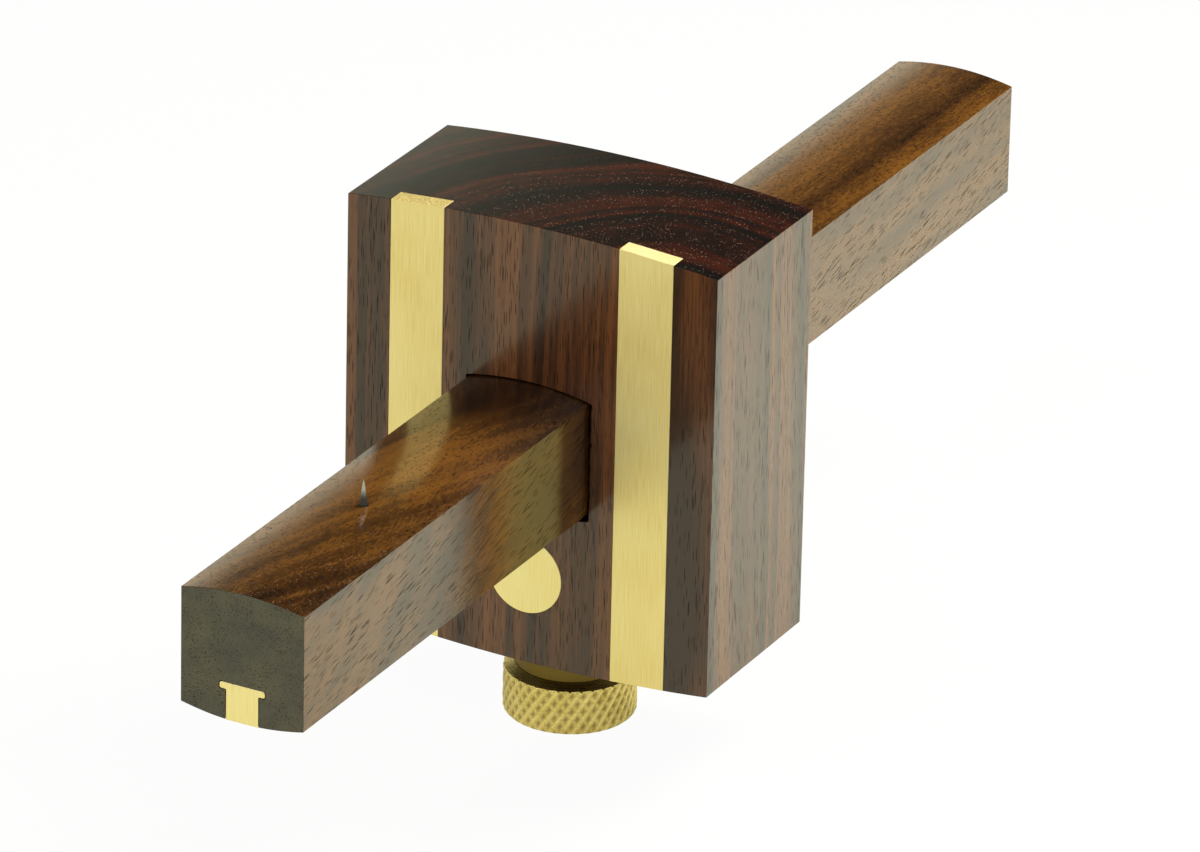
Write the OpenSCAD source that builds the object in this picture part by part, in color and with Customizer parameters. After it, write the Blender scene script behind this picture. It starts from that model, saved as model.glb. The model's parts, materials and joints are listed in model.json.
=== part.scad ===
// Mortise gauge: a crowned hardwood stock that slides along a hardwood stem and is clamped
// from below by a knurled thumbscrew. One side of the stem carries a single marking pin,
// the other a pair of mortise pins, one of them on a brass slide.
//
// Millimetres. Y runs along the stem, with the pins towards -Y, X is the stock's width and
// Z is up. The origin is on the stem's axis in the plane of the stock's working face.

/* [Stock] */
// Width of the stock
stock_w = 64; // [58:0.5:76]
// Height of the stock's flat sides, without the crowns
stock_h = 70; // [66:0.5:84]
// Thickness of the stock along the stem
stock_t = 31.2; // [27:0.2:40]
// Rise of the crown on the stock's top and bottom
stock_crown = 1.75; // [0.6:0.05:4]

/* [Stem] */
// Width of the stem
stem_w = 20.8; // [18:0.1:24]
// Height of the stem's flat sides, without the crowns
stem_h = 18.7; // [17:0.1:21]
// Rise of the crown on the stem's top and bottom
stem_crown = 1.2; // [0.5:0.05:2]
// Length of the stem
stem_len = 232.5; // [200:0.5:280]
// Length of stem that stands in front of the working face, as drawn
stem_reach = 86.7; // [70:0.1:110]

/* [Mortise in the stock] */
// Gap at each side of the stem
mortise_side_gap = 0.55; // [0.2:0.05:1]
// Gap over the stem, which the clamp closes
mortise_top_gap = 0.12; // [0.05:0.01:0.5]
// Gap under the stem
mortise_floor_gap = 1; // [0.4:0.05:1.6]

/* [Face strips] */
// Width of each brass strip
strip_w = 9.3; // [6:0.1:12]
// Thickness of each brass strip
strip_t = 3.1; // [2:0.1:5]
// Wood between a strip and the side of the stock
strip_inset = 7.55; // [5:0.05:8.5]
// Diameter of the blind studs that hold a strip
stud_d = 2.4; // [1.6:0.1:4]
// Length of a stud
stud_len = 9; // [6:0.5:14]
// Depth of a stud in its strip
stud_in_strip = 1.6; // [1:0.1:1.8]
// Distance between the two studs of a strip
stud_pitch = 48; // [30:1:60]

/* [Barrel nut] */
// Diameter of the barrel nut
nut_d = 12.7; // [11:0.1:14]
// Length of the barrel nut
nut_len = 24; // [21:0.5:26]
// Wood between the mortise floor and the top of the nut
nut_cover = 4.1; // [3.8:0.1:6]

/* [Thumbscrew] */
// Outer diameter of the screw thread
thread_d = 8; // [6:0.5:8.5]
// Pitch of the screw thread
thread_pitch = 1.25; // [1:0.05:1.5]
// Depth of the screw thread
thread_depth = 0.76; // [0.6:0.02:0.9]
// Radial gap between the screw thread and the nut's thread
thread_gap = 0.2; // [0.15:0.05:0.4]
// Diameter of the knurled knob
knob_d = 21.1; // [19:0.1:26]
// Height of the knurled rim
knob_h = 7.4; // [5:0.1:12]
// Distance from the stock's lowest point to the knurled rim
knob_gap = 6.9; // [5.5:0.1:12]
// Height of the cone between the rim and the collar
knob_cone_h = 0.95; // [0.5:0.05:1.5]
// Bevel at the knob's lower edge
knob_bevel = 0.45; // [0.2:0.05:1]
// Diameter of the smooth collar over the knob
collar_d = 17.4; // [13:0.1:18]
// Height of the smooth collar
collar_h = 3.4; // [1.5:0.1:4]
// Number of knurl ridges in each direction
knurl_count = 36; // [24:1:48]
// Depth of the knurl
knurl_depth = 0.3; // [0.1:0.05:0.5]
// Height of one knurl diamond
knurl_pitch = 2.6; // [1.5:0.1:4]

/* [Pressure shoe] */
// Diameter of the pressure shoe
shoe_d = 10; // [9.5:0.1:11]
// Thickness of the pressure shoe
shoe_t = 2.6; // [2.2:0.1:2.8]
// Radial gap around the shoe in its bore
shoe_gap = 0.2; // [0.1:0.05:0.4]
// Gap between the shoe and the slide, as drawn
shoe_air = 0.1; // [0.05:0.05:0.3]
// Diameter of the screw's spigot that turns in the shoe
spigot_d = 5; // [3:0.1:5.4]
// Depth of the shoe's socket for the spigot
socket_depth = 1.2; // [0.8:0.1:1.4]
// Radial and end gap of the spigot in its socket
socket_gap = 0.1; // [0.05:0.05:0.3]
// Gap between the end of the screw thread and the shoe
shoe_relief = 0.5; // [0.3:0.1:1]

/* [Pin slide] */
// Width of the slide's body, seen at the stem's end
slide_w = 5.5; // [4:0.1:7]
// Whole height of the slide
slide_h = 6.1; // [5:0.1:8]
// Width of the slide's buried flange
flange_w = 7.7; // [7.2:0.1:10]
// Thickness of the slide's buried flange
flange_t = 1.1; // [0.8:0.1:1.6]
// Gap around the slide in its groove
slide_gap = 0.2; // [0.1:0.05:0.4]
// Gap between the fixed plate and the slide when the pins are closed
slide_end_gap = 0.1; // [0.05:0.05:0.4]
// How far the slide can be drawn back
slide_travel = 16; // [10:1:24]
// Distance from the first plate screw to the stem's end
screw_inset = 7; // [5:0.5:9]
// Distance between the plate screws
screw_pitch = 19; // [14:0.5:20]
// Shank diameter of a plate screw
screw_d = 2; // [1.6:0.1:2.6]
// Head diameter of a plate screw
screw_head_d = 4; // [3.4:0.1:4.6]
// Length of a plate screw
screw_len = 11; // [9:0.5:12]
// Width of the driver slot in a plate screw
screw_slot_w = 0.6; // [0.4:0.05:0.8]
// Depth of the driver slot in a plate screw
screw_slot_depth = 0.6; // [0.3:0.05:0.8]
// Radial gap around a plate screw's shank in the plate
screw_gap = 0.1; // [0.05:0.05:0.2]

/* [Slide pull] */
// Diameter of the pull's button
pull_d = 9; // [7:0.1:11]
// Height of the pull's button
pull_h = 3.4; // [2.5:0.1:6]
// Diameter of the pull's neck
pull_neck_d = 4.6; // [3.6:0.1:5.4]
// Height of the pull's neck
pull_neck_h = 1.5; // [1.2:0.1:3]
// Diameter of the spigot that is riveted into the slide
rivet_d = 3; // [2:0.1:3.4]
// Distance from the slide's end to the edge of the button
pull_inset = 0.2; // [0.1:0.1:4]

/* [Pins] */
// Diameter of a pin
pin_d = 1.3; // [1:0.1:2]
// Diameter of a pin's point
pin_point_d = 0.16; // [0.1:0.02:0.4]
// Length of a pin that stands out
pin_reach = 4; // [2.5:0.1:6]
// Depth of the marking pin in the stem
pin_depth = 10; // [6:0.5:12]
// Depth of a mortise pin in its brass
mortise_pin_depth = 4.5; // [3:0.1:4.9]
// Distance from the stem's end to the marking pin
pin_from_end = 35.7; // [30:0.1:50]
// Distance from a mortise pin to the end of its brass
pin_edge = 1.6; // [1.2:0.1:3]
// Width of the countersink around the marking pin
pin_sink_d = 2.2; // [2.1:0.1:4]
// Depth of the countersink around the marking pin
pin_sink_depth = 0.4; // [0.2:0.05:1]

/* [Hidden] */

$fn = 64;
// Facets of the large crown arcs
crown_fn = 360;
// Overshoot of a cutter past the face that it cuts
over = 1;

rosewood = [0.26, 0.14, 0.09];
stem_wood = [0.36, 0.21, 0.12];
brass = [0.85, 0.70, 0.32];
steel = [0.62, 0.63, 0.65];

// Stem
stem_front = -stem_reach;
stem_back = stem_len - stem_reach;
stem_apex = stem_h / 2 + stem_crown;

// Stock
stock_apex = stock_h / 2 + stock_crown;
mortise_w = stem_w + 2 * mortise_side_gap;
mortise_top = stem_h / 2 + mortise_top_gap;
mortise_bottom = -stem_h / 2 - mortise_floor_gap;
mortise_floor = mortise_bottom - stem_crown;
strip_x = stock_w / 2 - strip_inset - strip_w / 2;

// Clamp, on a vertical axis in the middle of the stock's thickness
clamp_y = stock_t / 2;
nut_z = mortise_floor - nut_cover - nut_d / 2;
shoe_top = -stem_apex - shoe_air;
shoe_bottom = shoe_top - shoe_t;
shoe_bore_d = shoe_d + 2 * shoe_gap;
rim_top = -stock_apex - knob_gap;
rim_bottom = rim_top - knob_h;
collar_bottom = rim_top + knob_cone_h;
collar_top = collar_bottom + collar_h;
thread_end = shoe_bottom - shoe_relief;
spigot_end = shoe_bottom + socket_depth - socket_gap;
thread_segments = 20;
// How far the tapped hole is carried past each side of the nut
tap_runout = 2 * thread_pitch;

// Slide and fixed plate, one T section in one groove
slide_bottom = -stem_apex;
slide_top = slide_bottom + slide_h;
plate_len = pin_from_end + pin_edge;
plate_back = stem_front + plate_len;
slide_front = plate_back + slide_end_gap;
slide_back = stem_back - slide_travel;
pull_y = slide_back - pull_inset - pull_d / 2;
screw_head_h = (screw_head_d - screw_d) / 2;

// Pins
pin_y = stem_front + pin_from_end;
slide_pin_y = slide_front + pin_edge;

function crown_radius(w, rise) = (w * w / 4 + rise * rise) / (2 * rise);

// A bar along Y whose flat sides end at z_low and z_high, and whose top and bottom are arched
module crowned_bar(w, z_low, z_high, rise, y_from, y_to) {
    r = crown_radius(w, rise);
    length = y_to - y_from;
    intersection() {
        translate([-w / 2, y_from, z_low - rise]) cube([w, length, z_high - z_low + 2 * rise]);
        translate([0, y_from - over, z_high + rise - r]) rotate([-90, 0, 0])
            cylinder(r = r, h = length + 2 * over, $fn = crown_fn);
        translate([0, y_from - over, z_low - rise + r]) rotate([-90, 0, 0])
            cylinder(r = r, h = length + 2 * over, $fn = crown_fn);
    }
}

// The stock's outer form over a stretch of its thickness
module stock_form(y_from, y_to) {
    crowned_bar(stock_w, -stock_h / 2, stock_h / 2, stock_crown, y_from, y_to);
}

// A right-hand V thread on the clamp's axis, grown outwards by gap. It starts at or below
// z_from, at a whole number of turns from z = 0, so that all threads here are in step, and it
// ends just below z_to. Two helices, one along the crest and one along the root half a pitch
// higher, are joined by two strips of triangles, and a fan from the axis closes each end.
module thread_solid(z_from, z_to, gap) {
    n = thread_segments;
    z_start = thread_pitch * floor(z_from / thread_pitch);
    last = floor(((z_to - z_start) / thread_pitch - 0.5) * n);
    crest_r = thread_d / 2 + gap;
    root_r = crest_r - thread_depth;
    function helix(r, t, lift) =
        [r * cos(360 * t / n), r * sin(360 * t / n), z_start + thread_pitch * (t / n + lift)];
    crest = [for (t = [0:last]) helix(crest_r, t, 0)];
    root = [for (t = [0:last]) helix(root_r, t, 0.5)];
    low_centre = [0, 0, z_start + thread_pitch / 2];
    high_centre = [0, 0, z_start + thread_pitch * last / n];
    // Places of the points in one list: the crest, the root and the two centres
    root_at = last + 1;
    low_at = 2 * root_at;
    high_at = low_at + 1;
    lower_flank = [for (t = [0:last - 1]) for (f = [
        [t, root_at + t, t + 1],
        [t + 1, root_at + t, root_at + t + 1]
    ]) f];
    upper_flank = [for (t = [0:last - n - 1]) for (f = [
        [root_at + t, t + n, root_at + t + 1],
        [root_at + t + 1, t + n, t + n + 1]
    ]) f];
    low_rim = concat([for (t = [0:n]) t], [root_at]);
    high_rim = concat([for (t = [last:-1:last - n]) root_at + t], [last]);
    low_end = [for (k = [0:len(low_rim) - 1]) [low_at, low_rim[k], low_rim[(k + 1) % len(low_rim)]]];
    high_end = [for (k = [0:len(high_rim) - 1]) [high_at, high_rim[k], high_rim[(k + 1) % len(high_rim)]]];
    translate([0, clamp_y, 0])
        polyhedron(concat(crest, root, [low_centre, high_centre]),
            concat(lower_flank, upper_flank, low_end, high_end));
}

// A knurled bar: two crossing families of ridges around pyramid-shaped pits. The points form
// a chequerboard of ridge crossings and pits, and each square is split along its ridge.
module knurled_bar(z_from, z_to) {
    n = 2 * knurl_count;
    rows = ceil((z_to - z_from) / (knurl_pitch / 2));
    high = knob_d / 2;
    points = [for (j = [0:rows]) for (i = [0:n - 1])
        let (r = (i + j) % 2 == 0 ? high : high - knurl_depth)
        [r * cos(360 * i / n), r * sin(360 * i / n), z_from + j * knurl_pitch / 2]];
    sides = [for (j = [0:rows - 1]) for (i = [0:n - 1])
        let (a = j * n + i, b = j * n + (i + 1) % n, c = b + n, d = a + n)
        for (f = (i + j) % 2 == 0 ? [[a, c, b], [a, d, c]] : [[a, d, b], [b, d, c]]) f];
    low_cap = [[for (i = [0:n - 1]) i]];
    high_cap = [[for (i = [n - 1:-1:0]) rows * n + i]];
    translate([0, clamp_y, 0]) polyhedron(points, concat(low_cap, sides, high_cap));
}

// T section of the slide and its plate, grown by gap, over a stretch of the stem.
// The body is carried below the stem by reach.
module tee_bar(y_from, y_to, gap = 0, reach = 0) {
    translate([-flange_w / 2 - gap, y_from, slide_top - flange_t - gap])
        cube([flange_w + 2 * gap, y_to - y_from, flange_t + 2 * gap]);
    translate([-slide_w / 2 - gap, y_from, slide_bottom - reach])
        cube([slide_w + 2 * gap, y_to - y_from, slide_h - flange_t / 2 + reach]);
}

// A steel pin on the axis of its hole, point up, with z = 0 at the surface that it stands on
module pin(depth) {
    color(steel) {
        translate([0, 0, -depth]) cylinder(d = pin_d, h = depth);
        cylinder(d1 = pin_d, d2 = pin_point_d, h = pin_reach);
    }
}

module mortise_pin(y) {
    translate([0, y, slide_bottom]) rotate([180, 0, 0]) pin(mortise_pin_depth);
}

module strip_housing(side) {
    translate([side * strip_x - strip_w / 2, -over, -stock_apex - over])
        cube([strip_w, strip_t + over, 2 * (stock_apex + over)]);
}

module stud_at(side, end) {
    translate([side * strip_x, strip_t - stud_in_strip, end * stud_pitch / 2])
        rotate([-90, 0, 0]) cylinder(d = stud_d, h = stud_len);
}

module studs_of(side) {
    for (end = [-1, 1]) stud_at(side, end);
}

module face_strip(side) {
    color(brass) difference() {
        intersection() {
            stock_form(0, strip_t);
            strip_housing(side);
        }
        studs_of(side);
    }
}

// One countersunk wood screw, head down, flush with the underside of the plate
module plate_screw(y) {
    shank = screw_len - screw_head_h;
    point = screw_d;
    translate([0, y, slide_bottom]) {
        cylinder(d1 = screw_head_d, d2 = screw_d, h = screw_head_h);
        translate([0, 0, screw_head_h]) cylinder(d = screw_d, h = shank - point);
        translate([0, 0, screw_len - point]) cylinder(d1 = screw_d, d2 = pin_point_d, h = point);
    }
}

function screw_places() = [for (k = [0, 1]) stem_front + screw_inset + k * screw_pitch];

module stock() {
    color(rosewood) difference() {
        stock_form(0, stock_t);
        crowned_bar(mortise_w, mortise_bottom, mortise_top, stem_crown, -over, stock_t + over);
        for (side = [-1, 1]) {
            strip_housing(side);
            studs_of(side);
        }
        translate([0, -over, nut_z]) rotate([-90, 0, 0]) cylinder(d = nut_d, h = nut_len + over);
        translate([0, clamp_y, -stock_apex - over])
            cylinder(d = shoe_bore_d, h = stock_apex + over - stem_h / 2);
    }
}

module strip_studs() {
    color(brass) for (side = [-1, 1]) studs_of(side);
}

module barrel_nut() {
    color(brass) difference() {
        translate([0, 0, nut_z]) rotate([-90, 0, 0]) cylinder(d = nut_d, h = nut_len);
        thread_solid(nut_z - nut_d / 2 - tap_runout, nut_z + nut_d / 2 + tap_runout, thread_gap);
    }
}

// The knob is knurled first, then its lower edge is bevelled and its top turned to a cone
module thumbscrew() {
    blank_r = knob_d / 2 + knob_bevel;
    cone_run = knob_d / 2 - collar_d / 2;
    cone_slope = knob_cone_h / cone_run;
    color(brass) {
        intersection() {
            knurled_bar(rim_bottom - over, collar_bottom + over);
            translate([0, clamp_y, 0]) rotate_extrude() polygon([
                [0, rim_bottom],
                [blank_r - 2 * knob_bevel, rim_bottom],
                [blank_r, rim_bottom + 2 * knob_bevel],
                [blank_r, rim_top - knob_bevel * cone_slope],
                [collar_d / 2, collar_bottom],
                [0, collar_bottom]
            ]);
        }
        thread_solid(collar_top - over, thread_end, 0);
        translate([0, clamp_y, rim_top]) cylinder(d = collar_d, h = collar_top - rim_top);
        translate([0, clamp_y, thread_end - over]) cylinder(d = spigot_d, h = spigot_end - thread_end + over);
    }
}

module pressure_shoe() {
    color(brass) translate([0, clamp_y, 0]) difference() {
        translate([0, 0, shoe_bottom]) cylinder(d = shoe_d, h = shoe_t);
        translate([0, 0, shoe_bottom - over])
            cylinder(d = spigot_d + 2 * socket_gap, h = socket_depth + over);
    }
}

module stem() {
    color(stem_wood) difference() {
        crowned_bar(stem_w, -stem_h / 2, stem_h / 2, stem_crown, stem_front, stem_back);
        tee_bar(stem_front - over, stem_back + over, slide_gap, over);
        marking_pin();
        translate([0, pin_y, stem_apex - pin_sink_depth])
            cylinder(d1 = pin_d, d2 = pin_sink_d, h = pin_sink_depth);
        for (y = screw_places()) plate_screw(y);
    }
}

module marking_pin() {
    translate([0, pin_y, stem_apex]) pin(pin_depth);
}

module pin_plate() {
    color(brass) difference() {
        tee_bar(stem_front, plate_back);
        for (y = screw_places()) {
            plate_screw(y);
            translate([0, y, slide_bottom]) cylinder(d = screw_d + 2 * screw_gap, h = slide_h + over);
        }
        mortise_pin(pin_y);
    }
}

module plate_screws() {
    color(brass) for (y = screw_places()) difference() {
        plate_screw(y);
        translate([-screw_head_d / 2, y - screw_slot_w / 2, slide_bottom - over])
            cube([screw_head_d, screw_slot_w, screw_slot_depth + over]);
    }
}

module fixed_mortise_pin() {
    mortise_pin(pin_y);
}

module pin_slide() {
    color(brass) difference() {
        tee_bar(slide_front, slide_back);
        mortise_pin(slide_pin_y);
        translate([0, pull_y, slide_bottom - over]) cylinder(d = rivet_d, h = slide_h + 2 * over);
    }
}

module sliding_mortise_pin() {
    mortise_pin(slide_pin_y);
}

// A turned button on a neck, with a spigot riveted through the slide
module slide_pull() {
    // Radius of the button's rounded lower edge
    edge = pull_h / 3;
    arc_steps = 6;
    rounded = [for (k = [0:arc_steps]) let (a = 90 * k / arc_steps)
        [pull_d / 2 - edge + edge * sin(a), -pull_neck_h - pull_h + edge - edge * cos(a)]];
    color(brass) translate([0, pull_y, slide_bottom]) {
        cylinder(d = rivet_d, h = slide_h);
        rotate_extrude() polygon(concat(
            [[0, -pull_neck_h - pull_h]],
            rounded,
            [[pull_d / 2, -pull_neck_h], [pull_neck_d / 2, -pull_neck_h], [pull_neck_d / 2, 0], [0, 0]]
        ));
    }
}

stock();
face_strip(-1);  // face_strip_left
face_strip(1);  // face_strip_right
strip_studs();
barrel_nut();
thumbscrew();
pressure_shoe();
stem();
marking_pin();
pin_plate();
plate_screws();
fixed_mortise_pin();
pin_slide();
sliding_mortise_pin();
slide_pull();
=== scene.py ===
# %% [markdown]
# # Dressing a mortise gauge
# A mortise gauge scribes the two cheeks of a mortise in one pass. A rosewood stock with brass wear
# strips slides on a long stem, a thumbscrew below clamps it, and steel pins do the scribing.
# The construction comes in as a fixed frame of bare solids. This lesson gives each solid a finished
# surface with eased edges, grain and tool marks, and leaves its place and size alone. Sizes are in
# millimetres, which MM turns into Blender's metres. Only the table and the lamps are given in metres.

# %% Load the frame
import json
import math

import bmesh
import bpy
import numpy as np
from mathutils import Euler, Matrix, Vector


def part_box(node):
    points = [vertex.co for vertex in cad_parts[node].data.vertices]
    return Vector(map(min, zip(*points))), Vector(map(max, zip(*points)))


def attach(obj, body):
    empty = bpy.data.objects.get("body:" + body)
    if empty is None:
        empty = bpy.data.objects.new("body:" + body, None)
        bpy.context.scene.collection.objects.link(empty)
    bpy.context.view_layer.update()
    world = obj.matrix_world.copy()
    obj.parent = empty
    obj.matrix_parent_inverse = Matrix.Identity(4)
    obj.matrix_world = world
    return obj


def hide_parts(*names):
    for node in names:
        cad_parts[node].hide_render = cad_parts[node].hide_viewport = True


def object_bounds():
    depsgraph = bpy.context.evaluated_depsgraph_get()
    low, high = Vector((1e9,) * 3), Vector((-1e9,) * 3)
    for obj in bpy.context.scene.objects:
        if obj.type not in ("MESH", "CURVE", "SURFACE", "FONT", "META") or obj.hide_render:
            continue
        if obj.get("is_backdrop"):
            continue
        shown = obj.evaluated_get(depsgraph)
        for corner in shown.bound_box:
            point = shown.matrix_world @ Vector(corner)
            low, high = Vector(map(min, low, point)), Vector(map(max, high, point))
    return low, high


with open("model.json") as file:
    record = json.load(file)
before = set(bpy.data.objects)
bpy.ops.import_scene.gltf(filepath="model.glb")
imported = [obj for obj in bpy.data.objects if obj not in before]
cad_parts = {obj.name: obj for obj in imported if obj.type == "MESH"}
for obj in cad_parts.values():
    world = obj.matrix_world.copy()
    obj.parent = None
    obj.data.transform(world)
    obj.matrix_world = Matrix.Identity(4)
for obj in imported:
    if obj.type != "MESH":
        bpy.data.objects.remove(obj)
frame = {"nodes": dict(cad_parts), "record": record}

MM = 0.001
cad_low, cad_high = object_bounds()
bodies = {node: body for body, nodes in frame["record"]["behaviour"]["bodies"].items() for node in nodes}
print("frame of", len(bodies), "nodes, box in mm", [round(side / MM, 1) for side in cad_high - cad_low])

# %% [markdown]
# ## The camera
# The picture is taken with a long lens from the right, above the pins' end. Seen that way the edges
# stay almost parallel. A camera could be placed by hand with its location and angles, but a
# view is easier to think of as a place to look at, a direction and a distance, so those are the
# values here, and the lens follows from how wide the picture is where it looks.

# %% Camera
look_at = np.array([9.15, 6.38, 2.96])
view_azimuth = math.radians(27.86)
view_elevation = math.radians(24.73)
view_roll = math.radians(1.29)
view_distance = 1557.3
picture_width = 183.84
sensor_width = 36.0
nearest_seen = 50.0
farthest_seen = 50000.0

back = np.array([
    math.sin(view_azimuth) * math.cos(view_elevation),
    -math.cos(view_azimuth) * math.cos(view_elevation),
    math.sin(view_elevation),
])
level_right = np.array([math.cos(view_azimuth), math.sin(view_azimuth), 0.0])
level_up = np.cross(back, level_right)
right = level_right * math.cos(view_roll) + level_up * math.sin(view_roll)
up = np.cross(back, right)

camera_data = bpy.data.cameras.new("studio_camera")
camera_data.sensor_width = sensor_width
camera_data.lens = sensor_width * view_distance / picture_width
camera_data.clip_start = nearest_seen * MM
camera_data.clip_end = farthest_seen * MM
camera = bpy.data.objects.new("studio_camera", camera_data)
place = (look_at + back * view_distance) * MM
camera.matrix_world = Matrix.Translation(Vector(place)) @ Matrix(np.stack([right, up, back], 1)).to_4x4()
bpy.context.scene.collection.objects.link(camera)
bpy.context.scene.camera = camera
bpy.context.scene.view_settings.view_transform = "Standard"
print("lens", round(camera_data.lens, 1), "mm at", [round(c, 3) for c in place])

# %% [markdown]
# ## Meshes from arrays
# Every finished piece here is a stack of rings: an outline that is carried along a path, or a
# circle that grows and shrinks along an axis. The rings are one array of points with a row for each
# ring, so the faces follow from the row and column numbers alone. Pieces could be modelled by hand
# from cubes and cylinders, but an array keeps every size in the formula that made it.

# %% Closed shells and pieces
sliver = 0.0005


def closed(rings):
    """Points and faces of a closed shell. Neighbouring rings are joined by quads, and the first and
    the last ring are each closed by one flat face."""
    rows, columns = rings.shape[:2]
    row = np.arange(rows - 1)[:, None] * columns
    column = np.arange(columns)[None, :]
    beside = (column + 1) % columns
    quads = np.stack([row + column, row + beside, row + columns + beside, row + columns + column], -1)
    ends = [np.arange(columns)[::-1].tolist(), (np.arange(columns) + (rows - 1) * columns).tolist()]
    return rings.reshape(-1, 3), quads.reshape(-1, 4).tolist() + ends


def make_piece(name, *shells):
    """A mesh object of one or more closed shells, given in millimetres, with all faces outwards."""
    starts = np.cumsum([0] + [len(points) for points, faces in shells])
    points = np.concatenate([points for points, faces in shells]) * MM
    faces = [[int(start) + i for i in face] for start, shell in zip(starts, shells) for face in shell[1]]
    mesh = bpy.data.meshes.new(name)
    mesh.from_pydata(points.tolist(), [], faces)
    work = bmesh.new()
    work.from_mesh(mesh)
    bmesh.ops.recalc_face_normals(work, faces=work.faces)
    work.to_mesh(mesh)
    work.free()
    piece = bpy.data.objects.new(name, mesh)
    bpy.context.scene.collection.objects.link(piece)
    return piece


def carve(piece, *cutters):
    """Cuts the cutters out of a piece for good, and takes the cutters away. The many-sided faces that
    this leaves are split into triangles, and slivers with no area are dissolved."""
    for cutter in cutters:
        cut = piece.modifiers.new(cutter.name, "BOOLEAN")
        cut.operation = "DIFFERENCE"
        cut.solver = "EXACT"
        cut.object = cutter
    depsgraph = bpy.context.evaluated_depsgraph_get()
    depsgraph.update()
    carved = bpy.data.meshes.new_from_object(piece.evaluated_get(depsgraph))
    work = bmesh.new()
    work.from_mesh(carved)
    bmesh.ops.triangulate(work, faces=[face for face in work.faces if len(face.verts) > 4])
    bmesh.ops.dissolve_degenerate(work, dist=sliver * MM, edges=work.edges)
    work.to_mesh(carved)
    work.free()
    piece.modifiers.clear()
    piece.data = carved
    for cutter in cutters:
        bpy.data.objects.remove(cutter)
    return piece


def dress(piece, node, finish, sharp=32):
    """Lets a piece stand for a CAD node: it rides on the node's body and takes the finish.
    Edges that turn by more than sharp degrees stay crisp, and weighted normals keep the flats flat."""
    piece.data.shade_smooth()
    piece.data.set_sharp_from_angle(angle=math.radians(sharp))
    normals = piece.modifiers.new("flat_faces", "WEIGHTED_NORMAL")
    normals.keep_sharp = True
    piece.data.materials.clear()
    piece.data.materials.append(finish)
    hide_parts(node)
    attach(piece, bodies[node])
    size = [round(side / MM, 2) for side in piece.dimensions]
    print(piece.name, "stands for", node, len(piece.data.polygons), "faces, mm", size)


def box_mm(node):
    """The lowest and highest corner of a CAD node at rest, in millimetres."""
    low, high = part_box(node)
    return np.array(low) / MM, np.array(high) / MM


print("mesh helpers ready")

# %% [markdown]
# ## Outlines
# Two kinds of outline are enough for the whole gauge. The stock and the stem have flat sides and
# gently arched tops and bottoms. Everything else has straight sides with small rounded corners. Both
# come with their outward normals, because drawing an outline in along its normals eases the edges
# at the ends of a bar. A bevel on a sharp mesh would do the same, but is easily lost in long thin
# faces.

# %% Outline formulas
hair = 1e-9


def crowned_outline(half_width, apex, rise, ease, side_steps=2, arch_steps=25, corner_steps=5):
    """Outline of a bar with an arched top and bottom, anticlockwise, and its normals.

    The arch is part of a circle of radius (half_width^2 + rise^2) / (2 rise). Each corner is a circle
    of radius ease that touches the arch from inside and the flat side, so its centre lies ease
    inside the side, and the two radii's difference from the arch's centre. A point is its circle's
    centre plus the radius times the normal. The lower half is the upper half turned by half a turn.
    """
    radius = (half_width**2 + rise**2) / (2 * rise)
    arch_z = apex - radius
    corner_x = half_width - ease
    corner_z = arch_z + math.sqrt((radius - ease) ** 2 - corner_x**2)
    meet = math.atan2(corner_x, corner_z - arch_z)
    arch = np.linspace(meet, -meet, arch_steps)
    corner = np.linspace(math.pi / 2, meet, corner_steps)[:-1]
    angle = np.concatenate([corner, arch, -corner[::-1]])
    normal = np.stack([np.sin(angle), np.cos(angle)], 1)
    in_arch = (np.abs(angle) <= meet + hair)[:, None]
    corner_centre = np.stack([np.sign(angle) * corner_x, np.full_like(angle, corner_z)], 1)
    centre = np.where(in_arch, [0.0, arch_z], corner_centre)
    upper = centre + np.where(in_arch, radius, ease) * normal
    side_z = np.linspace(-corner_z, corner_z, side_steps)[1:-1]
    side = np.stack([np.full_like(side_z, half_width), side_z], 1)
    half = np.concatenate([side, upper])
    half_normal = np.concatenate([np.broadcast_to([1.0, 0.0], side.shape), normal])
    return np.concatenate([half, -half]), np.concatenate([half_normal, -half_normal])


def rounded(corners, radii, steps=5):
    """Outline of an anticlockwise polygon with rounded corners, and its normals, corner by corner.

    Where sides with normals m and n meet, the arc's centre is the corner minus the radius times
    (m + n) / (1 + m.n). The arc is the centre plus the radius times a normal that turns evenly from m
    to n. At an inward corner the radius counts as negative.
    """
    corners = np.asarray(corners, float)
    side = np.roll(corners, -1, 0) - corners
    side /= np.linalg.norm(side, axis=1, keepdims=True)
    after = np.stack([side[:, 1], -side[:, 0]], 1)
    before = np.roll(after, 1, 0)
    cosine = (before * after).sum(1)
    inward = before[:, 0] * after[:, 1] - before[:, 1] * after[:, 0] < 0
    radius = np.where(inward, -1.0, 1.0) * np.broadcast_to(radii, len(corners))
    centre = corners - (radius / (1 + cosine))[:, None] * (before + after)
    turn = np.arccos(np.clip(cosine, -1, 1))[:, None, None]
    part = np.linspace(0, 1, steps)[None, :, None]
    first = np.sin((1 - part) * turn) * before[:, None]
    second = np.sin(part * turn) * after[:, None]
    normal = (first + second) / np.sin(turn)
    return centre[:, None] + radius[:, None, None] * normal, normal


square = rounded([(0, 0), (2, 0), (2, 2), (0, 2)], 0.5)[0]
print("a square of 2 with corners of 0.5 has", square.size // 2, "points")

# %% [markdown]
# ## Bars and turned pieces
# A bar is an outline carried along Y. A turned piece is an outline carried round an axis, as on a
# lathe. At the ends of a bar the outline is drawn in along a quarter circle, as a maker takes the
# sharpness off with a few strokes of abrasive paper. Screw and bevel modifiers could do this, but a
# formula for the rings says where every point lies.

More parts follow.
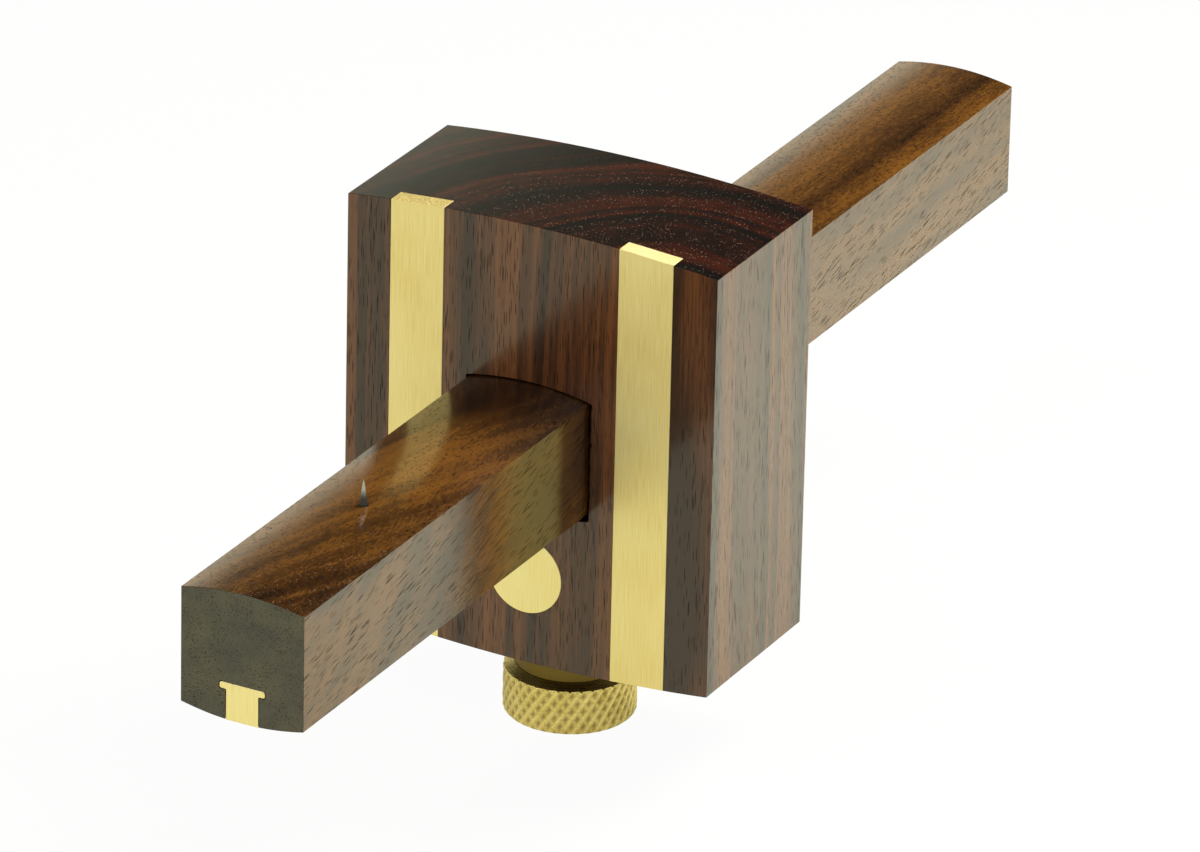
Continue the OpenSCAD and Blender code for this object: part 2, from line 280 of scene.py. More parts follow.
# %% Bars and turned shells
def bar(outline, normals, y_from, y_to, ease, steps=5):
    """Rings of a bar along Y. At the angle a on the quarter circle of an end edge, the outline is drawn
    in by ease (1 - sin a) and stands ease (1 - cos a) from the end."""
    angle = np.linspace(0, math.pi / 2, steps)
    inset = ease * (1 - np.sin(angle))
    depth = ease * (1 - np.cos(angle))
    inset = np.concatenate([inset, inset[::-1]])[:, None, None]
    y = np.concatenate([y_from + depth, y_to - depth[::-1]])[:, None]
    section = outline[None] - normals[None] * inset
    return np.stack([section[..., 0], np.broadcast_to(y, section.shape[:2]), section[..., 1]], -1)


def turned(profile, centre, segments=96, axis="Z"):
    """Rings of a turned piece: each point of the profile, a radius and a height, gives a circle of that
    radius at that height above the centre, about the Z or the Y axis."""
    angle = np.linspace(0, 2 * math.pi, segments, endpoint=False)
    radius, height = np.asarray(profile).T[..., None]
    across = radius * np.cos(angle)
    along = np.broadcast_to(height, across.shape)
    order = {"Z": (across, radius * np.sin(angle), along), "Y": (across, along, -radius * np.sin(angle))}
    return np.stack(order[axis], -1) + np.asarray(centre, float)


def turned_profile(corners, radii, steps=5):
    """Profile of a turned piece with eased corners. The first and last corner lie on the axis: they only
    give the ends their direction, and the flat ends are closed by the end rings."""
    return rounded(corners, radii, steps)[0][1:-1].reshape(-1, 2)


print("bars and turned shells ready")

# %% [markdown]
# ## Writing finishes as recipes
# A finish is a graph of nodes. It could be wired by hand in the shader editor, but a recipe in code
# can be read from top to bottom. Each line adds one node and names what comes out of it. Positions
# are read in the object's own coordinates, so the grain stays in the wood when a piece moves.

# %% Recipe helper
class Finish:
    """The node graph of a material or a world, written step by step. Each step gives an output socket,
    and the last one gives the finished material or world."""

    def __init__(self, owner):
        self.owner = owner
        owner.use_nodes = True
        self.tree = owner.node_tree
        self.tree.nodes.clear()

    def node(self, kind, inputs=(), out=0, **options):
        """Adds a node, sets its options, and sets or links its inputs."""
        made = self.tree.nodes.new(kind)
        for option, value in options.items():
            setattr(made, option, value)
        for key, value in dict(inputs).items():
            if isinstance(value, bpy.types.NodeSocket):
                self.tree.links.new(value, made.inputs[key])
            else:
                made.inputs[key].default_value = value
        return made.outputs[out]

    def place(self, turn=(0, 0, 0), shift=(0, 0, 0)):
        """Where a point of the piece is, in millimetres, after a turn and a shift."""
        here = self.node("ShaderNodeTexCoord", out="Object")
        wanted = {"Vector": here, "Scale": (1 / MM,) * 3, "Rotation": turn, "Location": shift}
        return self.node("ShaderNodeMapping", wanted)

    def facing(self, direction):
        """How squarely the surface faces along a direction or against it, from 0 to 1."""
        normal = self.node("ShaderNodeTexCoord", out="Normal")
        dot = self.node("ShaderNodeVectorMath", {0: normal, 1: direction}, "Value", operation="DOT_PRODUCT")
        return self.math("ABSOLUTE", dot)

    def math(self, operation, a, b=0.0):
        """One step of arithmetic on one or two values."""
        return self.node("ShaderNodeMath", {0: a, 1: b}, operation=operation)

    def weighted(self, values, weights):
        """The sum of some values, each times its weight."""
        total = 0.0
        for value, weight in zip(values, weights):
            total = self.node("ShaderNodeMath", {0: value, 1: weight, 2: total}, operation="MULTIPLY_ADD")
        return total

    def part(self, vector, axis="Z"):
        """One coordinate of a vector."""
        return self.node("ShaderNodeSeparateXYZ", {0: vector}, axis)

    def scaled(self, vector, factors, plus=(0, 0, 0)):
        """A vector times factors, plus another vector."""
        wanted = {0: vector, 1: factors, 2: plus}
        return self.node("ShaderNodeVectorMath", wanted, operation="MULTIPLY_ADD")

    def stretch(self, vector, x, y, z):
        """Coordinates counted in steps of x, y and z millimetres."""
        return self.scaled(vector, (1 / x, 1 / y, 1 / z))

    def length(self, vector):
        """The length of a vector."""
        return self.node("ShaderNodeVectorMath", {0: vector}, "Value", operation="LENGTH")

    def noise(self, vector, detail=2.0, out="Fac"):
        """Soft noise that varies over about one unit, with finer noise in it by the detail."""
        return self.node("ShaderNodeTexNoise", {"Vector": vector, "Scale": 1.0, "Detail": detail}, out)

    def layers(self, distance, step, detail=1.0):
        """Uneven layers, about step millimetres thick, along one distance."""
        wanted = {"W": distance, "Scale": 1 / step, "Detail": detail}
        return self.node("ShaderNodeTexNoise", wanted, "Fac", noise_dimensions="1D")

    def cells(self, vector, out="Distance"):
        """Scattered points, one in each unit cell: the distance to the nearest, or its random colour."""
        return self.node("ShaderNodeTexVoronoi", {"Vector": vector, "Scale": 1.0}, out)

    def remap(self, value, low, high, to_low=0.0, to_high=1.0):
        """A value carried from one range to another, in which it stays."""
        wanted = {"Value": value, "From Min": low, "From Max": high, "To Min": to_low, "To Max": to_high}
        return self.node("ShaderNodeMapRange", wanted)

    def on_face(self, direction, none_at=0.6, full_at=0.9):
        """1 where the surface faces along a direction or against it, and 0 where it faces away."""
        return self.remap(self.facing(direction), none_at, full_at)

    def spread(self, noise, low, high, usual=(0.3, 0.7)):
        """A noise carried from its usual range to another."""
        return self.remap(noise, *usual, low, high)

    def ramp(self, value, *stops):
        """Colours at chosen values, and blends between them."""
        made = self.tree.nodes.new("ShaderNodeValToRGB")
        elements = made.color_ramp.elements
        while len(elements) < len(stops):
            elements.new(0.5)
        for element, (position, colour) in zip(elements, stops):
            element.position = position
            element.color = (*colour, 1.0)
        self.tree.links.new(value, made.inputs["Fac"])
        return made.outputs["Color"]

    def blend(self, share, a, b):
        """Value a with a share of value b blended in."""
        return self.node("ShaderNodeMix", {0: share, 2: a, 3: b}, 0, data_type="FLOAT")

    def mix(self, share, a, b, blend="MIX"):
        """Colour a with a share of colour b blended in."""
        wanted = {0: share, 6: a, 7: b}
        return self.node("ShaderNodeMix", wanted, 2, data_type="RGBA", blend_type=blend)

    def bump(self, height, depth, strength=1.0):
        """Normals of a surface whose height varies by depth millimetres."""
        return self.node("ShaderNodeBump", {"Height": height, "Distance": depth * MM, "Strength": strength})

    def output(self, shader, kind="Material"):
        """The finished material, or the finished world where kind is World."""
        made = self.tree.nodes.new("ShaderNodeOutput" + kind)
        self.tree.links.new(shader, made.inputs["Surface"])
        return self.owner

    def principled(self, **inputs):
        """The finished material. Names of inputs are written with _ for a space."""
        wanted = {key.replace("_", " "): value for key, value in inputs.items()}
        return self.output(self.node("ShaderNodeBsdfPrincipled", wanted))


print("recipe helper ready")

# %% [markdown]
# ## The studio
# The gauge stands on its thumbscrew on a white table. A white table could be lit until it burns
# out, but that much light would bleach the wood as well. So the table glows almost white where the
# camera sees it, and cream where a reflection shows the part in front of the stock. It is a plain pale
# board for all other light, in which the gauge leaves a soft shadow. From below the table is clear, so
# that the underside can be looked at too.

# %% White table
camera_glow = 0.96
mirror_glow = 1.0
mirror_full_at = -20.0
mirror_gone_at = 60.0
white = (1.0, 1.0, 1.0, 1.0)
cream = (0.97, 1.0, 0.76, 1.0)
pale_board = (0.92, 0.96, 0.78, 1.0)
table_size = 12.0


def white_table():
    """Pale board. For the camera it glows white by a set share. For reflections it glows cream, in front
    of the stock by another share that falls to nothing behind the stock, where the lamp is near."""
    board = Finish(bpy.data.materials.new("white_table"))
    path = board.tree.nodes.new("ShaderNodeLightPath").outputs
    depth = board.part(board.place(), "Y")
    fading = board.remap(depth, mirror_full_at, mirror_gone_at, mirror_glow, 0.0)
    mirrored = board.math("MAXIMUM", path["Is Glossy Ray"], path["Is Transmission Ray"])
    mirrored = board.math("MULTIPLY", mirrored, fading)
    seen = board.math("MULTIPLY", path["Is Camera Ray"], camera_glow)
    tint = board.mix(path["Is Camera Ray"], cream, white)
    glow = board.node("ShaderNodeEmission", {"Color": tint, "Strength": 1.0})
    plain = board.node("ShaderNodeBsdfDiffuse", {"Color": pale_board})
    share = board.math("MAXIMUM", seen, mirrored)
    top = board.node("ShaderNodeMixShader", {0: share, 1: plain, 2: glow})
    clear = board.node("ShaderNodeBsdfTransparent")
    below = board.node("ShaderNodeNewGeometry", out="Backfacing")
    return board.output(board.node("ShaderNodeMixShader", {0: below, 1: top, 2: clear}))


half_table = table_size / 2
around_table = ((-1, -1), (1, -1), (1, 1), (-1, 1))
table_corners = [(x * half_table, y * half_table, cad_low.z) for x, y in around_table]
table_mesh = bpy.data.meshes.new("table")
table_mesh.from_pydata(table_corners, [], [(0, 1, 2, 3)])
table_mesh.materials.append(white_table())
table = bpy.data.objects.new("table", table_mesh)
bpy.context.scene.collection.objects.link(table)
table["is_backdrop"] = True
print("table at", round(cad_low.z / MM, 2), "mm")

# %% [markdown]
# Glossy wood shows what stands around it. The top faces of the gauge mirror a dark room above the
# table's far edge, and the faces near the left edge still catch the pale wall low down. So the
# surroundings are pale at the horizon and dark higher up. They could be a picture of a room, but a ramp
# of a few tones by height is enough.

# %% Surroundings
pale_wall = (0.92, 0.95, 0.75)
dark_room = (0.0, 0.0, 0.0)
sky_tones = (
    (0.0, pale_wall),
    (0.22, pale_wall),
    (0.31, (0.12, 0.124, 0.082)),
    (0.41, (0.01, 0.01, 0.007)),
    (0.48, dark_room),
    (1.0, dark_room),
)


def studio_sky():
    """A ramp of tones by height, from 0 at the horizon to 1 straight above, for light and reflections,
    and plain white for the camera."""
    around = Finish(bpy.data.worlds.new("studio"))
    height = around.part(around.node("ShaderNodeTexCoord", out="Generated"))
    tone = around.ramp(height, *sky_tones)
    room = around.node("ShaderNodeBackground", {"Color": tone, "Strength": 1.0})
    blank = around.node("ShaderNodeBackground", {"Color": white, "Strength": 1.0})
    camera_ray = around.node("ShaderNodeLightPath", out="Is Camera Ray")
    return around.output(around.node("ShaderNodeMixShader", {0: camera_ray, 1: room, 2: blank}), "World")


bpy.context.scene.world = studio_sky()
print("surroundings in", len(sky_tones), "tones")

# %% [markdown]
# Two soft lamps give the light. One is on the right and behind, near enough to leave a bright pool on
# the table, and one is high on the left and in front. A sun lamp would be simpler, but it leaves
# shadows with hard edges. Large lamps leave soft ones.

# %% Lamps
key_place = (0.20, 0.30, 0.42)
top_place = (-0.27, -0.58, 0.84)


def soft_lamp(name, place, size, watts, spread):
    """A square lamp, with its place and size in metres, that faces the gauge and isn't seen itself. Its
    light keeps within a cone of the spread's degrees, as a grid in front of a soft box does it."""
    data = bpy.data.lights.new(name, "AREA")
    data.shape = "SQUARE"
    data.size = size
    data.energy = watts
    data.spread = math.radians(spread)
    lamp = bpy.data.objects.new(name, data)
    lamp.location = place
    lamp.rotation_euler = (-Vector(place)).to_track_quat("-Z", "Y").to_euler()
    lamp.visible_camera = False
    bpy.context.scene.collection.objects.link(lamp)


soft_lamp("key_lamp", key_place, size=0.28, watts=1.6, spread=110)
soft_lamp("top_lamp", top_place, size=0.6, watts=5.0, spread=180)

# %% [markdown]
# ## Rosewood
# Rosewood has uneven dark layers, like a tree ring seen from all sides at once: stripes on a long
# face, arcs on a cut end. A picture of wood wrapped round the block would break at its edges, so the
# figure is a solid one. Its layers lie at growing distances from the pith, the tree's middle, and every
# face of the block simply cuts through them.

# %% Figure of the wood
bend_step = (30.0, 30.0, 110.0)
bend_reach = (9.0, 9.0, 0.0)
patch_step = (3.0, 3.0, 50.0)
fibre_step = (0.30, 0.30, 12.0)
streak_dark = 0.14
streak_core = 0.4
streak_rim = 1.4
streak_fade = 3.0


def wood_figure(wood, grain, swing, layer, phase):
    """Distance from the pith, and then broad layers, narrow layers, patches and fibres.

    The layers are uneven functions of the distance plus the phase, which chooses the ones that fall in
    the piece. A slow noise bends them, and below Z = 0 they swing to the side in proportion to the depth.
    Patches and fibres are noises drawn out along the grain.
    """
    slow = wood.noise(wood.stretch(grain, *bend_step), 1.0, "Color")
    depth = wood.math("MINIMUM", wood.part(grain), 0.0)
    bent = wood.scaled(depth, (swing, 0, 0), wood.scaled(slow, bend_reach, grain))
    radius = wood.length(wood.scaled(bent, (1, 1, 0)))
    place = wood.math("ADD", radius, phase)
    broad = wood.layers(place, layer, 1.0)
    narrow = wood.layers(place, layer / 4, 2.0)
    patches = wood.noise(wood.stretch(grain, *patch_step), 2.0)
    fibre = wood.noise(wood.stretch(grain, *fibre_step), 3.0)
    return radius, broad, narrow, patches, fibre


def wood_shade(wood, grain, radius, darker, streaks):
    """How much darker a point is: by each amount in darker, which grows from one place along the grain to
    another, and in streaks, each a layer with a distance from the pith and a half width, above a height."""
    along = wood.part(grain)
    height = wood.part(wood.place())
    shade = 0.0
    for start, stop, amount in darker:
        shade = wood.math("ADD", wood.remap(along, start, stop, 0.0, amount), shade)
    for distance, half_width, above in streaks:
        away = wood.math("ABSOLUTE", wood.math("SUBTRACT", radius, distance))
        streak = wood.remap(away, streak_core * half_width, streak_rim * half_width, streak_dark, 0.0)
        streak = wood.math("MULTIPLY", streak, wood.remap(height, above, above + streak_fade))
        shade = wood.math("ADD", streak, shade)
    return shade


print("layers bend by up to", bend_reach[0], "mm, fibres are about", fibre_step[2], "mm long")

# %% [markdown]
# Pores are fine tubes along the grain, cut open as dashes on a long face and as dots on an end. They
# could be drawn on each face, but as long thin cells in the solid they come out right on all of them.
# Pale dust has settled on the top faces, and along the edges the lacquer is worn off. Each pair of
# values below is the two ends of a range.

# %% Pores, dust and wear
pore_draw = (0.25, 0.75)
pore_sizes = (0.20, 0.37)
pore_rim = (-0.03, 0.01)
pore_colour = (0.010, 0.005, 0.003, 1.0)
dark_patch = (0.38, 0.54)
patch_shrink = 0.09
dust_step = (0.30, 0.30, 0.30)
dust_draw = (0.30, 0.75)
dust_sizes = (0.0, 0.28)
dust_rim = (-0.12, 0.0)
dust_level = (0.8, 0.95)
dust_layer = (0.40, 0.60)
dust_least = 0.25
dust_most = 0.75
dust_colour = (0.44, 0.35, 0.27, 1.0)
edge_wear = (0.90, 0.96)


def wood_pores(wood, grain, patches, spacing, stretch, dark):
    """How dark a point is from pores. A pore is where the point is near a scattered centre, measured
    with the grain direction shortened by stretch, which makes the pores long. They differ in size, and
    are smaller in dark patches."""
    place = wood.stretch(grain, spacing, spacing, spacing * stretch)
    size = wood.remap(wood.cells(place, "Color"), *pore_draw, *pore_sizes)
    size = wood.math("SUBTRACT", size, wood.remap(patches, *dark_patch, patch_shrink, 0.0))
    return wood.remap(wood.math("SUBTRACT", wood.cells(place), size), *pore_rim, dark, 0.0)


def wood_dust(wood, grain, radius, narrow, full_at, gone_at):
    """How much dust lies on a point: dots of uneven size on the faces across Z, most in the pale narrow
    layers, with all of it at one distance from the pith and none at another."""
    place = wood.stretch(grain, *dust_step)
    size = wood.remap(wood.cells(place, "Color"), *dust_draw, *dust_sizes)
    dots = wood.remap(wood.math("SUBTRACT", wood.cells(place), size), *dust_rim, 1.0, 0.0)
    settled = wood.remap(wood.facing((0, 0, 1)), *dust_level, 0.0, dust_most)
    settled = wood.math("MULTIPLY", settled, wood.remap(narrow, *dust_layer, dust_least, 1.0))
    settled = wood.math("MULTIPLY", settled, wood.remap(radius, full_at, gone_at, 1.0, 0.0))
    return wood.math("MULTIPLY", dots, settled)


def worn_edges(wood):
    """1 along the edges, where the surface faces none of the axes, and 0 on the flats."""
    flat = wood.math("MAXIMUM", wood.facing((1, 0, 0)), wood.facing((0, 1, 0)))
    flat = wood.math("MAXIMUM", flat, wood.facing((0, 0, 1)))
    return wood.remap(flat, *edge_wear, 1.0, 0.0)


print("dust in dots about", dust_step[0], "mm apart")

# %% [markdown]
# The recipe puts these together. The wood is lacquered, so a clear coat lies over its colour. One even
# coat would be simpler, but then the pores would shine like the wood around them, so the coat is
# missing in the pores and along the worn edges.

# %% Rosewood recipe
cloud_step = (5.0, 5.0, 5.0)
dark_cloud = 0.24
pale_cloud = 0.76
wood_shine = (0.14, 0.20)
end_dullness = 0.05
worn_dullness = 0.4
relief_weights = (0.4, -1.0)
relief_depth = 0.01
relief_strength = 0.5
full_seal = 0.5
full_lacquer = 0.8


def rosewood(
    name, turn, pith, swing, layer, phase, weights, tones,
    darker, end_tint, end_even, streaks, pores, dust,
):
    """Solid wood. The turn brings the grain to Z, and pith is where the tree's middle then lies.

    The tone at a point is the weighted sum of its figure, minus its shade. On cut ends the colour is
    multiplied by itself, which deepens the figure, gives way to soft clouds by a share, and is tinted.
    Pores and dust lie over that. The lacquer is missing in the pores and along the worn edges.
    """
    wood = Finish(bpy.data.materials.new(name))
    grain_axis = Euler(turn).to_matrix().inverted() @ Vector((0, 0, 1))
    grain = wood.place(turn, (-pith[0], -pith[1], 0.0))
    radius, *figure = wood_figure(wood, grain, swing, layer, phase)
    narrow, patches, fibre = figure[1:]
    shade = wood_shade(wood, grain, radius, darker, streaks)
    colour = wood.ramp(wood.math("SUBTRACT", wood.weighted(figure, weights), shade), *tones)

    end = wood.on_face(grain_axis)
    cloud = wood.noise(wood.stretch(grain, *cloud_step), 2.0)
    clouds = wood.ramp(cloud, (dark_cloud, tones[1][1]), (pale_cloud, tones[2][1]))
    end_colour = wood.mix(end_even, wood.mix(1.0, colour, colour, "MULTIPLY"), clouds)
    end_colour = wood.mix(1.0, end_colour, (*end_tint, 1.0), "MULTIPLY")
    colour = wood.mix(end, colour, end_colour)
    pore = wood_pores(wood, grain, patches, *pores)
    colour = wood.mix(pore, colour, pore_colour)
    colour = wood.mix(wood_dust(wood, grain, radius, narrow, *dust), colour, dust_colour)

    worn = worn_edges(wood)
    shine = wood.math("ADD", wood.spread(fibre, *wood_shine), wood.math("MULTIPLY", end, end_dullness))
    shine = wood.math("ADD", shine, wood.math("MULTIPLY", worn, worn_dullness))
    relief = wood.bump(wood.weighted((fibre, pore), relief_weights), relief_depth, relief_strength)
    open_wood = wood.math("MAXIMUM", pore, worn)
    sealed = wood.remap(open_wood, 0.0, 1.0, full_seal, 0.0)
    lacquer = wood.remap(open_wood, 0.0, 1.0, full_lacquer, 0.0)
    return wood.principled(
        Base_Color=colour, Roughness=shine, IOR=1.40, Specular_IOR_Level=sealed, Normal=relief,
        Coat_Weight=lacquer, Coat_Roughness=0.19, Coat_IOR=1.36)


print("recipe for solid rosewood ready")

# %% [markdown]
# The two woods come from the same recipe. The stock's grain stands upright and is dark and fine. The
# stem's runs along it at a slant and is browner. Towards the stock the stem is darker, which is painted
# shade of the stock's shadow on it. Two recipes would be easier to tune one by one, but both pieces are
# rosewood, and one recipe keeps their pores and fibres alike.

# %% Wood of the stock and of the stem
stock_wood = rosewood(
    "stock_rosewood", turn=(0.0, 0.0, 0.0), pith=(35.0, -10.0), swing=0.0,
    layer=6.0, phase=-10.0, weights=(0.45, 0.22, 0.15, 0.18),
    tones=((0.41, (0.041, 0.017, 0.009)), (0.465, (0.080, 0.029, 0.012)),
           (0.525, (0.142, 0.049, 0.017)), (0.59, (0.200, 0.071, 0.022))),
    darker=(), end_tint=(1.3, 1.5, 2.5), end_even=0.0,
    streaks=((16.0, 0.9, -50.0), (56.0, 2.5, -50.0)), pores=(0.26, 18, 0.7), dust=(44.0, 60.0))
stem_wood = rosewood(
    "stem_rosewood", turn=(math.radians(77), math.radians(-3), 0.0), pith=(-44.8, 6.9), swing=-0.2,
    layer=9.0, phase=0.0, weights=(0.40, 0.14, 0.22, 0.24),
    tones=((0.30, (0.021, 0.008, 0.003)), (0.41, (0.078, 0.030, 0.006)),
           (0.49, (0.155, 0.060, 0.009)), (0.60, (0.207, 0.082, 0.012))),
    # The second and third amounts are painted shade: the stem darkens towards the stock, where the stock
    # shadows it, and lightens again further back.
    darker=((-75.0, -50.0, 0.02), (-26.0, 0.0, 0.15), (25.0, 60.0, -0.12)),
    end_tint=(0.57, 1.22, 4.0), end_even=0.9,
    streaks=((69.8, 2.4, -50.0), (78.5, 2.0, 7.5), (84.0, 4.0, 6.5)), pores=(0.26, 24, 0.85),
    dust=(76.0, 67.0))
print("rosewood:", stock_wood.name, "and", stem_wood.name)

# %% [markdown]
# ## Brass and steel
# The strips and the slide were drawn over abrasive paper in one direction, which leaves fine straight
# lines. The thumbscrew and the pull were turned, so their lines run round the axis. Lines could be
# modelled, but they are about a tenth of a millimetre wide, so noise that is stretched a long way in one
# direction stands for them in colour, shine and relief.

# %% Brushed brass
upright_lines = (0.12, 0.12, 6.0)
lengthways_lines = (0.12, 6.0, 0.12)
line_depth = 0.012
line_strength = 0.6
tarnish_step = (9.0, 9.0, 14.0)
line_and_tarnish = (0.7, 0.3)
saw_step = (0.30, 0.30, 0.30)
line_tones = ((0.36, (0.89, 0.72, 0.32)), (0.50, (0.96, 0.81, 0.40)), (0.64, (0.99, 0.88, 0.50)))
saw_tones = ((0.36, (0.38, 0.26, 0.06)), (0.50, (0.68, 0.53, 0.14)), (0.64, (0.90, 0.75, 0.28)))


def brushed_brass(name, lines, shine_low, shine_high, end_grit):
    """Brass with straight lines. lines gives the step of the noise in X, Y and Z, long along the lines.
    The roughness varies across them between the two shines. Faces across Y are filed upright. On faces
    across Z the lines give way to a mottle of the set strength, as a saw leaves it."""
    brass = Finish(bpy.data.materials.new(name))
    here = brass.place()
    drawn = brass.noise(brass.stretch(here, *lines), 3.0)
    filed = brass.noise(brass.stretch(here, *upright_lines), 3.0)
    fine = brass.blend(brass.on_face((0, 1, 0)), drawn, filed)
    tarnish = brass.noise(brass.stretch(here, *tarnish_step), 1.0)
    mottle = brass.noise(brass.stretch(here, *saw_step), 3.0)
    end = brass.math("MULTIPLY", brass.on_face((0, 0, 1)), end_grit)
    colour = brass.ramp(brass.weighted((fine, tarnish), line_and_tarnish), *line_tones)
    colour = brass.mix(end, colour, brass.ramp(mottle, *saw_tones))
    shine = brass.spread(fine, shine_low, shine_high)
    height = brass.math("ADD", fine, brass.math("MULTIPLY", mottle, end))
    relief = brass.bump(height, line_depth, line_strength)
    return brass.principled(Base_Color=colour, Metallic=1.0, Roughness=shine, Normal=relief)


strip_left_brass = brushed_brass("left_strip_brass", upright_lines, 0.66, 0.76, 0.65)
strip_right_brass = brushed_brass("right_strip_brass", upright_lines, 0.62, 0.72, 0.15)
nut_brass = brushed_brass("nut_brass", upright_lines, 0.50, 0.62, 0.0)
slide_brass = brushed_brass("slide_brass", lengthways_lines, 0.50, 0.62, 0.0)
print("brushed brass:", strip_left_brass.name, strip_right_brass.name, nut_brass.name, slide_brass.name)

# %% [markdown]
# Turned brass needs the distance from its axis. On the flats the lines are circles of one radius, on
# the sides they are circles at one height, so layers of radius and height together make both. Dirt sits
# in the hollows of the knurl. The collar under the stock and the foot of each pin are darker and duller
# too, which is painted shade. A noise would put either anywhere, so the mesh carries a value named pit,
# which the finish reads.

# %% Turned brass and steel
turning_step = 0.09
turning_depth = 0.006
turning_strength = 0.5
dirt_and_painted_shade_dullness = 0.2
stain_step = (2.2, 2.2, 2.2)
grit_step = (0.35, 0.35, 0.35)
metal_weights = (0.25, 0.35, 0.40)
dark_at = 0.38
light_at = 0.62


def turned_metal(name, axis_at, dark, light, dirt_and_painted_shade_colour, shine_low, shine_high):
    """Metal with turning lines about an upright axis at axis_at, which are uneven layers of the radius
    plus the height, with stains and grit, and darker and duller where pit is high: from dirt in a knurl,
    and as painted shade on the thumbscrew's collar and at the foot of a pin."""
    metal = Finish(bpy.data.materials.new(name))
    here = metal.place(shift=(-axis_at[0], -axis_at[1], 0.0))
    radius = metal.length(metal.scaled(here, (1, 1, 0)))
    rings = metal.layers(metal.math("ADD", radius, metal.part(here)), turning_step, 2.0)
    stain = metal.noise(metal.stretch(here, *stain_step), 3.0)
    grit = metal.noise(metal.stretch(here, *grit_step), 2.0)
    tone = metal.weighted((rings, stain, grit), metal_weights)
    colour = metal.ramp(tone, (dark_at, dark), (light_at, light))
    pit = metal.node("ShaderNodeAttribute", out="Fac", attribute_name="pit")
    colour = metal.mix(pit, colour, (*dirt_and_painted_shade_colour, 1.0))
    shine = metal.spread(rings, shine_low, shine_high)
    shine = metal.math("ADD", shine, metal.math("MULTIPLY", pit, dirt_and_painted_shade_dullness))
    relief = metal.bump(rings, turning_depth, turning_strength)
    return metal.principled(Base_Color=colour, Metallic=1.0, Roughness=shine, Normal=relief)


screw_low, screw_high = box_mm("thumbscrew")
pull_low, pull_high = box_mm("slide_pull")
screw_centre = (screw_low + screw_high) / 2
pull_centre = (pull_low + pull_high) / 2
# The third colour is the one where pit is high: dirt in the knurl, and painted shade on the collar and at
# the pins' feet.
yellow_brass = ((0.60, 0.44, 0.13), (0.92, 0.73, 0.29), (0.18, 0.12, 0.03))
screw_brass = turned_metal("screw_brass", screw_centre, *yellow_brass, 0.24, 0.36)
pull_brass = turned_metal("pull_brass", pull_centre, *yellow_brass, 0.20, 0.30)
grey_steel = ((0.42, 0.41, 0.39), (0.56, 0.55, 0.52), (0.10, 0.10, 0.10))
pin_steel = turned_metal("pin_steel", (0, 0), *grey_steel, 0.24, 0.34)
print("turned metal:", screw_brass.name, pull_brass.name, pin_steel.name)

# %% [markdown]
# ## The stock
# The stock is the fence that runs along the edge of the work: a block of rosewood with an arched top
# and bottom. The block is an eased bar. Its mortise, the housings of the strips, the hole for the nut and
# the bore for the screw are cut out with Boolean modifiers, as a maker would cut them, because no single
# grid can go round so many openings. The mouth of the mortise is relieved a little, and chipped on
# one side where a chisel has caught it.

# %% Stock block and its cutters
stock_low, stock_high = box_mm("stock")
stem_low, stem_high = box_mm("stem")
stock_crown = 1.75
stem_crown = 1.2
stock_ease = 0.08
end_ease = 0.06
mortise_side_gap = 0.45
mortise_top_gap = 0.12
mortise_floor_gap = 1.0
mortise_corner = 0.3
screw_bore = 5.2
over = 1.0


def block(low, high):
    """Rings of a plain box: a square ring at its bottom and one at its top."""
    across = np.array([(low[0], low[1]), (high[0], low[1]), (high[0], high[1]), (low[0], high[1])])
    return np.stack([np.insert(across, 2, height, 1) for height in (low[2], high[2])])


def mortise_rings(relief, chips):
    """Rings of the mortise's cutter. Its outline is the stem's with the gaps added. From the depth of
    the relief outwards it widens at 45 degrees, and each chip, a place and a width along the right
    side with a depth, adds a bell-shaped bump to that depth at the front mouth."""
    top = stem_high[2] + mortise_top_gap
    bottom = stem_low[2] - mortise_floor_gap
    half_width = stem_high[0] + mortise_side_gap
    half_height = (top - bottom) / 2
    outline, normals = crowned_outline(half_width, half_height, stem_crown, mortise_corner, side_steps=120)
    outline = outline + [0.0, (top + bottom) / 2]
    at, width, depth = np.array(chips).T[..., None]
    bumps = (depth * np.exp(-(((outline[:, 1] - at) / width) ** 2))).sum(0)
    on_right_side = normals[:, 0] > 0.9
    front = relief + bumps * on_right_side
    plain = np.full_like(front, relief)
    thickness = stock_high[1]
    grown = np.stack([front + over, 0 * front, 0 * front, plain + over])[..., None]
    y = np.stack([0 * front - over, front, thickness - plain, 0 * front + thickness + over])
    section = outline[None] + normals[None] * grown
    return np.stack([section[..., 0], y, section[..., 1]], -1)


print("stock", np.round(stock_high - stock_low, 2), "stem", np.round(stem_high - stem_low, 2))

# %% [markdown]
# Each cutter reaches beyond the face that it opens. It could end in the face, but then it would be left
# to rounding whether a thin skin of wood stays there. The housings are wider than the strips by a fine
# joint line, which shows as the dark line round a piece of metal let into wood.

# %% Stock
mouth_relief = 0.12
mouth_chips = [(8.9, 0.5, 0.30), (5.2, 0.25, 0.18), (2.6, 0.35, 0.34), (-1.4, 0.5, 0.16), (-5.8, 0.3, 0.22)]
strip_low, strip_high = box_mm("face_strip_right")
nut_low, nut_high = box_mm("barrel_nut")
nut_radius = (nut_high[0] - nut_low[0]) / 2
nut_z = (nut_low[2] + nut_high[2]) / 2
joint_line = 0.03

